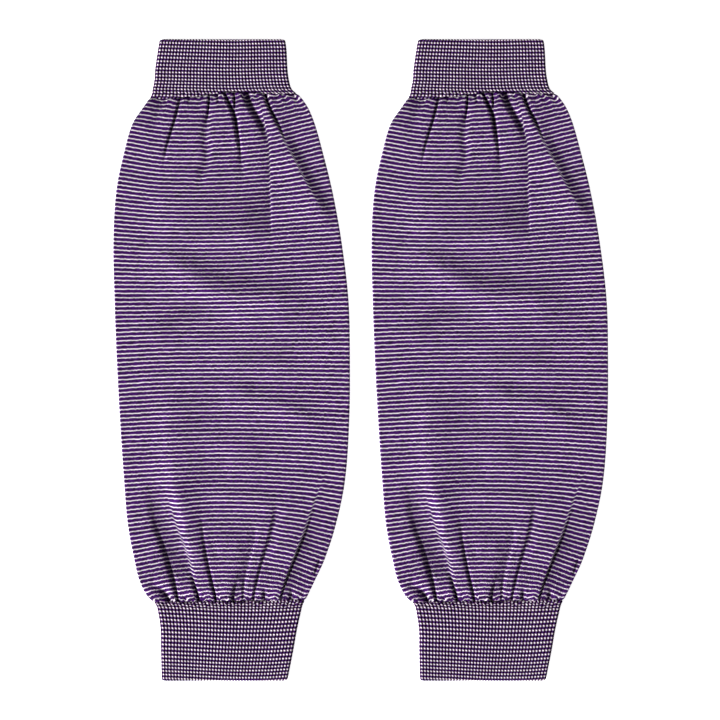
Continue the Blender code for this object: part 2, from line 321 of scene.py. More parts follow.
# A fold's path, its reach on the left and on the right of it, and its height.
FOLDS = (
    Fold(((-39, 366), (-44, 355), (-48.5, 345), (-51.5, 335)), 4.5, 4.5, -1.2, starts=0, keeps=0.4),
    Fold(
        ((-14, 358), (-15, 349), (-16, 341), (-15.2, 331), (-15.8, 322), (-19.5, 312), (-22.5, 302)),
        2.6, 3, -1.2, starts=0.15, gloom=0.14, gloom_left=2.2, gloom_right=2.2, sag=0.25,
    ),
    Fold(((6.2, 333), (6.6, 322), (7.2, 311)), 2.6, 3, -0.8, sag=0.1),
    Fold(
        ((21, 345), (23, 335), (23.6, 325), (23.9, 312), (24.3, 298), (24.7, 285), (25, 270)),
        0.6, 4.5, -1, starts=0.1, gloom=0.4, gloom_right=1.8, slip=0.5,
    ),
    Fold(
        ((22.6, 312), (23.8, 301), (24.2, 290), (24.8, 274)),
        0.6, 11, -1, gloom=0.25, gloom_left=0.6, gloom_right=1.2,
    ),
    Fold(
        ((22.6, 358), (28, 347.4), (33.5, 335), (39.8, 323.4), (46.1, 311), (53.3, 298.5), (63.5, 279)),
        4.5, 11, 1.7, starts=0.5, keeps=0.86, gloom=0.5, gloom_left=4, gloom_right=0.4, slip=-1.8,
    ),
    Fold(((17.9, 368), (22, 356), (26, 347), (30, 339)), 2, 2.4, 0.7),
    Fold(((30, 363), (37, 357), (46, 352)), 4, 4, -0.4),
    Fold(
        ((22, 302), (12, 291), (2, 283), (-10, 277)),
        4.5, 4.5, -0.4, keeps=0.85, gloom=0.13, gloom_left=4.5, gloom_right=4.5,
    ),
    Fold(
        ((-52, 274), (-40, 275.5), (-26, 277), (-12, 278.5), (2, 279.5), (14, 277), (26, 272)),
        24, 7, 2.4,
    ),
    Fold(
        ((-52, 274), (-38, 261), (-24, 251), (-10, 243.5), (6, 239.5), (24, 237), (52, 238)),
        10.5, 9, 2.9, starts=0.15, keeps=0.85,
    ),
    Fold(((-50, 265), (-41, 257), (-32, 250)), 4, 6, -0.5, gloom=0.2, gloom_left=4, gloom_right=6),
    Fold(((-2, 227), (8, 228), (18, 226)), 3, 5, 0.8),
    Fold(
        ((-56, 211), (-41, 222), (-28, 230), (-8, 233)),
        6, 16, 0.9, gloom=0.24, gloom_left=4.5, gloom_right=9,
    ),
    Fold(((-10, 197), (8, 198.5), (26, 197.5), (46, 193)), 5, 12, 1.1),
    Fold(((2, 176), (18, 173.5), (30, 171.5), (42, 165.5), (58, 156)), 6.5, 6, 1.5),
    Fold(((-8, 179), (4, 180), (16, 178)), 5, 9, 1.4),
    Fold(((-24, 147), (-5, 147.5), (8, 146.5), (20, 145)), 7, 5, 0.9),
    Fold(((-6, 137), (8, 138.5), (22, 136)), 4, 9, 1),
    Fold(((-18, 115), (0, 114.5), (16, 113), (31, 110)), 8.5, 7, 1),
    Fold(((-12, 84), (-2, 85), (8, 84)), 6, 8, 1),
    Fold(((-36, 195), (-37, 168), (-37, 146), (-35, 128), (-31, 110), (-27, 92)), 18, 8.5, 2.5),
    Fold(
        ((-38, 132), (-34, 118), (-31.2, 107), (-28.5, 98), (-25.8, 87), (-21, 75), (-17.8, 58)),
        8, 3.8, 1.8, sag=0.25,
    ),
    Fold(
        ((-33.5, 52), (-35, 62), (-38, 75), (-42.3, 88), (-46.5, 100), (-49.5, 114), (-52, 132)),
        3.5, 9, -1.6, starts=0.4, gloom=0.5, gloom_left=2.5, gloom_right=7.5,
    ),
    Fold(
        ((-24, 60), (-28.5, 74), (-33.5, 88)),
        4.5, 2.5, -0.9, gloom=0.22, gloom_left=3, gloom_right=2.5,
    ),
    Fold(
        ((-19.6, 47.5), (-21.5, 56), (-24, 66), (-26.5, 76), (-30.5, 87), (-34.2, 97), (-41, 124)),
        2.5, 1.2, -0.6, starts=0, keeps=0.4, slip=0.5,
    ),
    Fold(((-28, 81), (-31.5, 90), (-34.6, 98), (-38.2, 110), (-42, 124)), 2, 2, 0, slip=0.7),
    Fold(
        ((1.5, 50), (4.6, 61), (7, 72)),
        3.5, 3, -0.7, starts=0.15, gloom=0.5, gloom_left=3.2, gloom_right=3.5,
    ),
    Fold(((8.4, 56), (11, 75), (14.5, 88), (15.8, 101)), 3.5, 1, -1.3, gloom=0.15),
    Fold(
        ((17.8, 66), (20.6, 78), (24, 88), (26.4, 101), (29.4, 116)),
        1.2, 4, -1.3, gloom=0.1, sag=-0.25,
    ),
    Fold(
        ((29, 47.5), (30.8, 54), (33.4, 62), (38.2, 75), (43.6, 88), (48.2, 100), (57, 126)),
        9, 0.6, 1.3, starts=0, keeps=0.6, gloom=0.5, gloom_left=0.5, gloom_right=5.5, slip=-0.65,
    ),
    Fold(
        ((35.3, 66), (38, 75), (43.1, 88), (47.4, 100), (51.8, 112), (56.4, 124), (60, 135)),
        2, 2, 0, slip=-0.9,
    ),
    Fold(((-40, 50), (-46, 57), (-52, 63)), 2.5, 5, -1),
    Fold(((55.5, 77), (53.4, 71), (51.4, 65)), 0.8, 0.8, -1, gloom=0.5),
)


@dataclass(frozen=True)
class PathMeasure:
    """How points lie to a path: distance, positive on its left, and share travelled."""

    distance: np.ndarray
    travel: np.ndarray

    def kept(self, keeps: float) -> np.ndarray:
        """Share left of what fades from the share keeps of the path to the path's end."""
        return 1.0 - smooth_step(keeps, 1.0, self.travel)


def measure_path(path: Sequence[Point], across: np.ndarray, along: np.ndarray) -> PathMeasure:
    """Measure points against a smooth path.

    Args:
        path: The path's own points.
        across: The points' places across.
        along: The points' places along.

    Returns:
        The distance from the path and the share of it travelled, for each point.
    """
    runs_per_point = 4
    knots = np.arange(len(path), dtype=float)
    fine = np.linspace(0.0, knots[-1], runs_per_point * (len(path) - 1) + 1)
    line_x = smooth_curve(fine, knots, [point[0] for point in path])
    line_y = smooth_curve(fine, knots, [point[1] for point in path])
    best = np.full(across.shape, np.inf)
    signed, travel = np.zeros(across.shape), np.zeros(across.shape)
    for index in range(len(fine) - 1):
        run_x, run_y = line_x[index + 1] - line_x[index], line_y[index + 1] - line_y[index]
        off_x, off_y = across - line_x[index], along - line_y[index]
        share = np.clip((off_x * run_x + off_y * run_y) / (run_x**2 + run_y**2), 0.0, 1.0)
        distance = np.hypot(off_x - share * run_x, off_y - share * run_y)
        nearer = distance < best
        best = np.where(nearer, distance, best)
        signed = np.where(nearer, np.where(run_x * off_y > run_y * off_x, distance, -distance), signed)
        travelled = fine[index] + share * (fine[index + 1] - fine[index])
        travel = np.where(nearer, travelled / knots[-1], travel)
    return PathMeasure(signed, travel)


@dataclass(frozen=True)
class Folding:
    """What the folds do: height added, stripes lifted, and painted shade as the share of the light kept out.
    """

    relief: np.ndarray
    slip: np.ndarray
    gloom: np.ndarray


@dataclass(frozen=True)
class SleeveForm:
    """Shape of a sleeve as it lies flat, with its gathers, creases and stripes.

    The seams and the length come from the frame. Heights are above the surface that the
    sleeve lies on. Beside each seam the body puffs up, the ripples are the crimps that the
    seam leaves, and the disorder is stitches out of line, which it also darkens in patches.
    slip is the way in which stripes step across a fold. A slit of full_depth gets wholly dark
    painted shade.
    """

    length: float
    wrist_seam: float
    elbow_seam: float
    body_height: float = 4.6
    edge_height: float = 3.2
    edge_round: float = 1.0
    lowest: float = 0.9
    wrist_rise: float = 1.8
    elbow_rise: float = 0.9
    puff_rise: float = 9.0
    wrist_puff: float = 62.0
    elbow_puff: float = 44.0
    full_depth: float = 4.0
    ripple_height: float = 0.25
    ripple_lift: float = 0.25
    ripple_reach: float = 6.0
    ripple_count: int = 5
    ripple_waves: tuple[int, int] = (9, 17)
    ripple_slant: float = 0.05
    stripe_pitch: float = 2.623
    stripe_datum: float = 210.36
    slip_width: float = 0.4
    slip_reach: float = 12.0
    slip_keeps: float = 0.4
    disorder_count: int = 10
    disorder_lengths: tuple[float, float] = (2.0, 4.5)
    disorder_reach: float = 3.5
    disorder_lift: float = 0.12
    disorder_height: float = 0.12
    disorder_gloom: float = 0.3
    seed: int = 11

    def edges(self, along: np.ndarray) -> tuple[np.ndarray, np.ndarray]:
        """Distances of the left and the right edge from the centre line."""
        knots, left, right = zip(*(astuple(section) for section in OUTLINE))
        return smooth_curve(along, knots, left), smooth_curve(along, knots, right)

    def half_width(self, side: np.ndarray, along: np.ndarray) -> np.ndarray:
        """Distance from the centre line to the edge on each place's own side."""
        left, right = self.edges(along)
        return np.where(side > 0, right, left)

    def seam_distance(self, along: np.ndarray) -> np.ndarray:
        """Distance into the body from the nearer seam, negative inside a cuff."""
        return np.minimum(along - self.wrist_seam, self.elbow_seam - along)

    def bared(self, share: np.ndarray, along: np.ndarray) -> np.ndarray:
        """Distance out of the nearer cuff, negative where the cuff covers the body."""
        wrist, elbow = (smooth_curve(share, STRIPE_COLUMNS, dots.dips) for dots in (WRIST_DOTS, ELBOW_DOTS))
        return np.minimum(along - (self.wrist_seam - wrist), self.elbow_seam + elbow - along)

    def disorder(self, across: np.ndarray, along: np.ndarray) -> np.ndarray:
        """Fine disorder that gathering leaves in the stitches beside a seam.

        Args:
            across: Places across, in millimetres.
            along: Places along.

        Returns:
            The disorder, about 1 high.
        """
        random = np.random.default_rng(self.seed)
        total = np.zeros(across.shape)
        for _ in range(self.disorder_count):
            turn, length = random.uniform(0.0, math.pi), random.uniform(*self.disorder_lengths)
            way = across * math.cos(turn) + along * math.sin(turn)
            total += np.sin(2 * math.pi * (way / length + random.uniform()))
        nearness = np.exp(-((self.seam_distance(along) / self.disorder_reach) ** 2))
        return nearness * total * math.sqrt(2 / self.disorder_count)

    def plain_height(self, along: np.ndarray) -> np.ndarray:
        """Height of the upper layer without its folds: it stands up near the gathers.

        Args:
            along: Places along the sleeve.

        Returns:
            The height at each place.
        """
        rises = []
        for distance, reach, rise in (
            (along - self.wrist_seam, self.wrist_puff, self.wrist_rise),
            (self.elbow_seam - along, self.elbow_puff, self.elbow_rise),
        ):
            share = smooth_step(0.0, self.puff_rise, distance)
            rises.append(rise * share * (1.0 - smooth_step(self.puff_rise, reach, distance)))
        return self.body_height + np.maximum(rises[0], rises[1])

    def ripples(self, share: np.ndarray, along: np.ndarray) -> np.ndarray:
        """Small crimps that the stitched seams leave.

        Args:
            share: Places across, from -1 to 1.
            along: Places along.

        Returns:
            The crimps, about 1 high.
        """
        random = np.random.default_rng(self.seed)
        total = np.zeros(share.shape)
        for _ in range(self.ripple_count):
            waves = random.uniform(*self.ripple_waves)
            phase = random.uniform(0.0, 2 * math.pi)
            slant = random.uniform(-self.ripple_slant, self.ripple_slant)
            total += np.sin(math.pi * waves * share + phase + slant * along)
        nearness = np.exp(-np.abs(self.seam_distance(along)) / self.ripple_reach)
        return nearness * total / math.sqrt(self.ripple_count)

    def folding(self, share: np.ndarray, across: np.ndarray, along: np.ndarray) -> Folding:
        """Add up all the slits and folds.

        Args:
            share: Places across, from -1 to 1.
            across: The same places in millimetres.
            along: Places along.

        Returns:
            What they do at each place.
        """
        crimps, disorder = self.ripples(share, along), self.disorder(across, along)
        relief = self.ripple_height * crimps + self.disorder_height * disorder
        slip = self.ripple_lift * crimps + self.disorder_lift * disorder
        # Darker in patches where the stitches by the seams lie out of line.
        gloom = self.disorder_gloom * np.clip(disorder, 0.0, 1.0)
        for slit in ELBOW_SLITS + WRIST_SLITS:
            place = measure_path(slit.path, across, along)
            width = slit.width + (slit.belly - slit.width) * np.sin(math.pi * place.travel)
            inside = place.kept(slit.keeps) * np.exp(-((place.distance / width) ** 2))
            relief -= slit.depth * inside
            # Painted shade in the slit, the darker the deeper it is.
            gloom = np.maximum(gloom, inside * min(slit.depth / self.full_depth, 1.0))
        for fold in FOLDS:
            place = measure_path(fold.path, across, along)
            risen = smooth_step(0.0, fold.starts, place.travel) if fold.starts else 1.0
            strength = risen * place.kept(fold.keeps)
            amount = strength * bell(place.distance, fold.left, fold.right)
            relief += fold.height * amount
            slip -= fold.sag * amount
            # Painted shade along the fold; beside a lap, a painted shadow under its lip.
            if fold.gloom:
                reached = bell(place.distance, fold.gloom_left, fold.gloom_right)
                gloom = np.maximum(gloom, fold.gloom * strength * reached)
            if fold.slip:
                fade = place.kept(self.slip_keeps) * np.exp(-np.abs(place.distance) / self.slip_reach)
                slip += fold.slip / 2 * fade * np.tanh(place.distance / self.slip_width)
        return Folding(relief, slip, gloom)

    def stripe_lift(self, share: np.ndarray, along: np.ndarray) -> np.ndarray:
        """How many stripes too high the stripes lie.

        Args:
            share: Places across, from -1 to 1, as a grid.
            along: Places along, as a grid with one place in each row.

        Returns:
            The number at each place.
        """
        knots = [row.along for row in STRIPE_ROWS]
        columns = zip(*(astuple(row)[1:] for row in STRIPE_ROWS))
        heights = np.stack([smooth_curve(along[:, 0], knots, column) for column in columns], axis=1)
        return np.stack([smooth_curve(row, STRIPE_COLUMNS, lifts) for row, lifts in zip(share, heights)])


@dataclass(frozen=True)
class SleevePlace:
    """Where a sleeve lies, in metres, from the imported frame."""

    side: Side
    centre_x: float
    wrist_y: float

    @classmethod
    def from_frame(cls, side: Side) -> SleevePlace:
        """Find a sleeve's place from its solids' boxes.

        Args:
            side: Which sleeve.

        Returns:
            The place.
        """
        body_low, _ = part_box(f"{side.value}_body")
        cuff_low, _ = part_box(f"{side.value}_wrist_cuff")
        widest_left = max(section.left for section in OUTLINE)
        return cls(side, body_low.x + widest_left * METRES_PER_MM, cuff_low.y)

    def metres(self, across: np.ndarray, along: np.ndarray, height: np.ndarray) -> np.ndarray:
        """Turn millimetres on the sleeve into points of the frame, with X, Y and Z last."""
        points = np.stack(np.broadcast_arrays(across, along, height), axis=-1) * METRES_PER_MM
        return points + np.array([self.centre_x, self.wrist_y, 0.0])


def form_from_frame() -> SleeveForm:
    """Read the seams and the length from the left sleeve's solids.

    At the wrist the rib reaches WRIST_COVER farther over the gathers than in the solids.

    Returns:
        The form that both sleeves share.
    """
    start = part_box("left_wrist_cuff")[0].y
    body_low, body_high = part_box("left_body")
    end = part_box("left_elbow_cuff")[1].y
    places = [(value - start) / METRES_PER_MM for value in (end, body_low.y, body_high.y)]
    length, wrist_seam, elbow_seam = places
    return SleeveForm(length, wrist_seam + WRIST_COVER, elbow_seam)


@dataclass(frozen=True)
class KnitGrid:
    """A closed strip of quads: rows along a sleeve, columns all the way round it.

    points is rows by columns by 3. stitches and bake are rows by columns plus one, by 2,
    because the last column meets the first with its own coordinates. Where loops is true,
    the last row joins the first one too, and both sets have one more row. gloom is the
    share of the light kept out at each point: painted shade in the folds, and darker
    patches where the stitches by the seams lie out of line.
    """

    points: np.ndarray
    stitches: np.ndarray
    bake: np.ndarray
    gloom: np.ndarray
    loops: bool = False

    def make(self, name: str) -> bpy.types.Object:
        """Make the mesh object.

        Args:
            name: The object's name.

        Returns:
            The object, linked to the scene.
        """
        rows, columns = self.points.shape[:2]
        first_rows = np.arange(rows if self.loops else rows - 1)
        corner_rows = first_rows[:, None, None] + np.array([0, 0, 1, 1])
        corner_columns = np.arange(columns)[None, :, None] + np.array([0, 1, 1, 0])
        vertex = (corner_rows % rows * columns + corner_columns % columns).reshape(-1)
        mesh = bpy.data.meshes.new(name)
        mesh.vertices.add(rows * columns)
        mesh.vertices.foreach_set("co", self.points.astype(np.float32).reshape(-1))
        mesh.loops.add(len(vertex))
        mesh.loops.foreach_set("vertex_index", vertex.astype(np.int32))
        mesh.polygons.add(len(vertex) // 4)
        mesh.polygons.foreach_set("loop_start", np.arange(0, len(vertex), 4, dtype=np.int32))
        mesh.update(calc_edges=True)
        for map_name, values in (("Stitches", self.stitches), ("OFBake", self.bake)):
            corners = values[corner_rows, corner_columns].astype(np.float32)
            mesh.uv_layers.new(name=map_name).data.foreach_set("uv", corners.reshape(-1))
        shade = mesh.attributes.new(name="Gloom", type="FLOAT", domain="POINT")
        shade.data.foreach_set("value", self.gloom.astype(np.float32).reshape(-1))
        mesh.shade_smooth()
        piece = bpy.data.objects.new(name, mesh)
        bpy.context.scene.collection.objects.link(piece)
        return piece


def math_method(operation: str, reflected: bool = False) -> Callable[..., Field]:
    """Make a method of Field that adds a Math node.

    Args:
        operation: The node's operation.
        reflected: Whether the field comes last, as the mask does in 1 - mask.

    Returns:
        The method.
    """

    def method(field: Field, *others: Field | float) -> Field:
        """Work out the operation on the field and the values beside it."""
        values = (*others, field) if reflected else (field, *others)
        return field.shader.math(operation, *values)

    return method


@dataclass(frozen=True)
class Field:
    """A value that varies over a surface: an output socket, with arithmetic."""

    shader: ShaderTree
    socket: bpy.types.NodeSocket

    __add__, __radd__ = math_method("ADD"), math_method("ADD", reflected=True)
    __sub__, __rsub__ = math_method("SUBTRACT"), math_method("SUBTRACT", reflected=True)
    __mul__, __rmul__ = math_method("MULTIPLY"), math_method("MULTIPLY", reflected=True)
    __truediv__, __rtruediv__ = math_method("DIVIDE"), math_method("DIVIDE", reflected=True)
    __pow__, __rpow__ = math_method("POWER"), math_method("POWER", reflected=True)
    __abs__, sine = math_method("ABSOLUTE"), math_method("SINE")
    fraction, whole = math_method("FRACT"), math_method("FLOOR")

    def step(self, low: float, high: float) -> Field:
        """Rise smoothly from 0 at low to 1 at high."""
        inputs = {"Value": self, "From Min": low, "From Max": high}
        return self.shader.node("ShaderNodeMapRange", {"interpolation_type": "SMOOTHSTEP"}, inputs)["Result"]


class ShaderTree:
    """The node tree of one material, with one way to add a node."""

    def __init__(self, name: str) -> None:
        """Start a material with an empty tree.

        Args:
            name: The material's name.
        """
        self.material = bpy.data.materials.new(name)
        self.material.use_nodes = True
        self.tree = self.material.node_tree
        self.tree.nodes.clear()

    def node(
        self,
        kind: str,
        settings: Mapping[str, object] | None = None,
        inputs: Mapping[str | int, object] | None = None,
    ) -> dict[str | int, Field]:
        """Add a node.

        Args:
            kind: The node's type.
            settings: Its settings, set first.
            inputs: A value or a field for each socket, by the socket's name or number.

        Returns:
            A field for each output, by the output's name and by its number.
        """
        made = self.tree.nodes.new(kind)
        for name, value in (settings or {}).items():
            setattr(made, name, value)
        for key, value in (inputs or {}).items():
            if isinstance(value, Field):
                self.tree.links.new(value.socket, made.inputs[key])
            else:
                made.inputs[key].default_value = value
        fields = [Field(self, socket) for socket in made.outputs]
        return dict(enumerate(fields)) | {field.socket.name: field for field in fields}

    def math(self, operation: str, *values: Field | float) -> Field:
        """Add a Math node on numbers or fields."""
        return self.node("ShaderNodeMath", {"operation": operation}, dict(enumerate(values)))[0]

    def mix(self, factor: Field, first: Field | Colour, second: Field | Colour) -> Field:
        """Mix two colours, where the factor is the share of the second one."""
        inputs = {0: factor, 6: first, 7: second}
        return self.node("ShaderNodeMix", {"data_type": "RGBA"}, inputs)[2]

    def shade(self, colour: Field, amount: Field) -> Field:
        """Multiply a colour by the share of the light that reaches it."""
        inputs = {0: colour, "Scale": amount}
        return self.node("ShaderNodeVectorMath", {"operation": "SCALE"}, inputs)[0]

    def stitch_places(self) -> tuple[Field, Field, Field]:
        """Read the knit's own coordinates.

        Returns:
            The wale, the course, and both as a vector.
        """
        stitches = self.node("ShaderNodeUVMap", {"uv_map": "Stitches"})["UV"]
        parts = self.node("ShaderNodeSeparateXYZ", inputs={"Vector": stitches})
        return parts["X"], parts["Y"], stitches

    def gloom(self) -> Field:
        """Read the Gloom attribute, from 0 to 1: painted shade in the folds, darker patches by the seams."""
        return self.node("ShaderNodeAttribute", {"attribute_name": "Gloom"})["Fac"]

    def noise(self, vector: Field, scale: float, detail: float) -> Field:
        """Add smooth noise about 0, as fine as scale says, with detail finer layers."""
        inputs = {"Vector": vector, "Scale": scale, "Detail": detail}
        return self.node("ShaderNodeTexNoise", inputs=inputs)["Fac"] - 0.5

    def stretch(self, vector: Field, per_wale: float, per_course: float) -> Field:
        """Scale the knit's coordinates, to draw noise out one way."""
        inputs = {0: vector, 1: (per_wale, per_course, 1.0)}
        return self.node("ShaderNodeVectorMath", {"operation": "MULTIPLY"}, inputs)[0]

    def speckle(self, wale: Field, course: Field) -> Field:
        """Give each stitch its own chance number from -0.5 to 0.5.

        Args:
            wale: Places in wales.
            course: Places in courses.

        Returns:
            The number.
        """
        cell = self.node("ShaderNodeCombineXYZ", inputs={"X": wale.whole(), "Y": course.whole()})
        inputs = {"Vector": cell["Vector"]}
        return self.node("ShaderNodeTexWhiteNoise", {"noise_dimensions": "2D"}, inputs)["Value"] - 0.5


@dataclass(frozen=True)
class KnitFinish:
    """The two cotton yarns that both knits share, and how their stitches catch the light, partly painted
    into their colour.

    shadow is painted shade: the purple yarn as dark as it looks deep in a furrow. blush is
    the white yarn where purple ones lie over its edge. hollow_light and relief_light paint
    shade into the stitches' hollows, and gloom_shade says how dark the Gloom attribute
    paints. Widths and softness along the wales are in courses.
    """

    purple: Colour = (0.056, 0.010, 0.120, 1.0)
    white: Colour = (1.0, 0.935, 0.975, 1.0)
    blush: Colour = (0.95, 0.29, 0.86, 1.0)
    shadow: Colour = (0.004, 0.001, 0.011, 1.0)
    edge_softness: float = 0.10
    unevenness: float = 0.36
    loop_foot: float = 0.15
    relief_mm: float = 0.22
    hollow_light: float = 0.62
    relief_light: float = 0.45
    gloom_shade: float = 0.90
    roughness: float = 0.86
    roughness_spread: float = 0.1
    gloss: float = 0.03
    sheen: float = 0.03
    sheen_roughness: float = 0.5
    sheen_tint: Colour = (0.55, 0.35, 0.75, 1.0)

    def loops(self, stitch: Field) -> Field:
        """Height of the loops along the courses, from loop_foot between two courses to 1."""
        return (stitch.fraction() * math.pi).sine() * (1 - self.loop_foot) + self.loop_foot

    def surface(
        self, tree: ShaderTree, colour: Field, relief: Field, grain: Field, uneven: Field
    ) -> bpy.types.Material:
        """Close a tree with a matt knit surface.

        Args:
            tree: The material's tree.
            colour: The yarns' colours in full light.
            relief: Height of the stitches, from 0 to 1.
            grain: How light each place is beside its neighbours, about 1.
            uneven: The stitches' chance numbers.

        Returns:
            The material.
        """
        # Painted shade: the base colour darkens in the stitches' hollows and by the Gloom attribute.
        light = (self.hollow_light + self.relief_light * relief) * grain
        light = light * (1 - self.gloom_shade * tree.gloom())
        depth = self.relief_mm * METRES_PER_MM
        inputs = {"Strength": 1.0, "Distance": depth, "Height": relief}
        bump = tree.node("ShaderNodeBump", inputs=inputs)
        inputs = {
            "Base Color": tree.shade(colour, light),
            "Roughness": self.roughness + self.roughness_spread * uneven,
            "Normal": bump["Normal"],
            "Sheen Weight": self.sheen,
            "Sheen Roughness": self.sheen_roughness,
            "Sheen Tint": self.sheen_tint,
            "Specular IOR Level": self.gloss,
        }
        shader = tree.node("ShaderNodeBsdfPrincipled", inputs=inputs)
        tree.node("ShaderNodeOutputMaterial", inputs={"Surface": shader["BSDF"]})
        return tree.material


@dataclass(frozen=True)
class JerseyFinish(KnitFinish):
    """Striped jersey: columns of V-shaped stitches, one white course in three.

    lean is how far a V's legs rise, and tug how far single stitches sit out of line.
    cloud_scale and bar_scales say how fine the lighter and darker patches are.
    """

    stripe_width: float = 0.71
    blush_start: float = 0.1
    lean: float = 0.45
    tug: float = 0.4
    leg_foot: float = 0.2
    purple_grain: float = 0.80
    cloud_scale: float = 0.35
    barring: float = 0.60
    bar_scales: tuple[float, float] = (0.02, 0.16)

    def material(self) -> bpy.types.Material:
        """Make the jersey's material.

        Returns:
            The material.
        """
        tree = ShaderTree("striped_jersey")
        wale, course, places = tree.stitch_places()
        from_middle = abs(wale.fraction() - 0.5) * 2
        tugged = tree.speckle(wale, course / COURSES_PER_STRIPE)
        stitch = course - self.lean * (from_middle - 0.5) + self.tug * tugged
        from_stripe = ((stitch / COURSES_PER_STRIPE).fraction() - 0.5) * COURSES_PER_STRIPE
        inner, outer = (self.stripe_width / 2 + side * self.edge_softness for side in (-1, 1))
        white = 1 - abs(from_stripe).step(inner, outer)
        pale = tree.mix(from_stripe.step(self.blush_start, outer), self.white, self.blush)
        leg = 1 - (from_middle * 2 - 1) ** 2
        relief = (leg * (1 - self.leg_foot) + self.leg_foot) ** 0.5 * self.loops(stitch)
        uneven = tree.speckle(wale, stitch)
        cloudy = tree.noise(places, self.cloud_scale, detail=3.0)
        bars = tree.noise(tree.stretch(places, *self.bar_scales), scale=1.0, detail=1.0)
        grain = 1 + (self.unevenness + self.purple_grain * (1 - white)) * uneven
        grain = grain + self.unevenness * cloudy + self.barring * bars
        return self.surface(tree, tree.mix(white, self.purple, pale), relief, grain, uneven)


@dataclass(frozen=True)
class RibFinish(KnitFinish):
    """One-by-one rib: the white courses show as dots on the ribs, with furrows in painted shade.

    A dot fades between dot_start and dot_end from its rib's crest, and the furrow begins
    between furrow_start and furrow_end, all as shares of a rib.
    """

    edge_softness: float = 0.16
    dot_height: float = 1.20
    dot_start: float = 0.175
    dot_end: float = 0.315
    gap_white: float = 0.16
    slant: float = -0.7
    furrow_start: float = 0.13
    furrow_end: float = 0.33
    furrow_flatness: float = 0.5
    crest_light: float = 0.35

    def material(self) -> bpy.types.Material:
        """Make the rib's material.

        Returns:
            The material.
        """
        tree = ShaderTree("dotted_rib")
        wale, course, _ = tree.stitch_places()
        from_crest = wale.fraction() - 0.5
        stitch = course + self.slant * from_crest
        from_row = abs((stitch / COURSES_PER_STRIPE).fraction() - 0.5) * COURSES_PER_STRIPE
        inner, outer = (self.dot_height / 2 + side * self.edge_softness for side in (-1, 1))
        row = 1 - from_row.step(inner, outer)
        off_crest = abs(from_crest).step(self.dot_start, self.dot_end)
        furrow = abs(from_crest).step(self.furrow_start, self.furrow_end)
        relief = self.loops(stitch) * (1 - self.furrow_flatness * furrow)
        uneven = tree.speckle(wale, stitch)
        # Painted shade: the purple turns to shadow in the furrows; painted highlight: it is lighter on the
        # crests by crest_light.
        purple = tree.mix(furrow, self.purple, self.shadow)
        purple = tree.shade(purple, 1 + self.crest_light * (1 - furrow))
        pale = tree.mix(off_crest, self.white, self.blush)
        white = row * (self.gap_white + (1 - self.gap_white) * (1 - off_crest))
        colour = tree.mix(white, purple, pale)
        return self.surface(tree, colour, relief, 1 + self.unevenness * uneven, uneven)


def dress(
    piece: bpy.types.Object, material: bpy.types.Material, node: str, length: float
) -> None:
    """Give a piece its knit, hang it under the root body, and hide the solid that it stands for.

    Args:
        piece: The piece.
        material: Its knit.
        node: The solid that it stands for.
        length: The piece's length in millimetres; not used.
    """
    piece.data.materials.append(material)
    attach(piece, "root")
    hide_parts(node)
    LOG.info("%s: %d faces", piece.name, len(piece.data.polygons))


@dataclass(frozen=True)
class TopLayer:
    """The upper layer as grids: places across, heights, stripe numbers and gloom."""

    across: np.ndarray
    height: np.ndarray
    stripes: np.ndarray
    gloom: np.ndarray


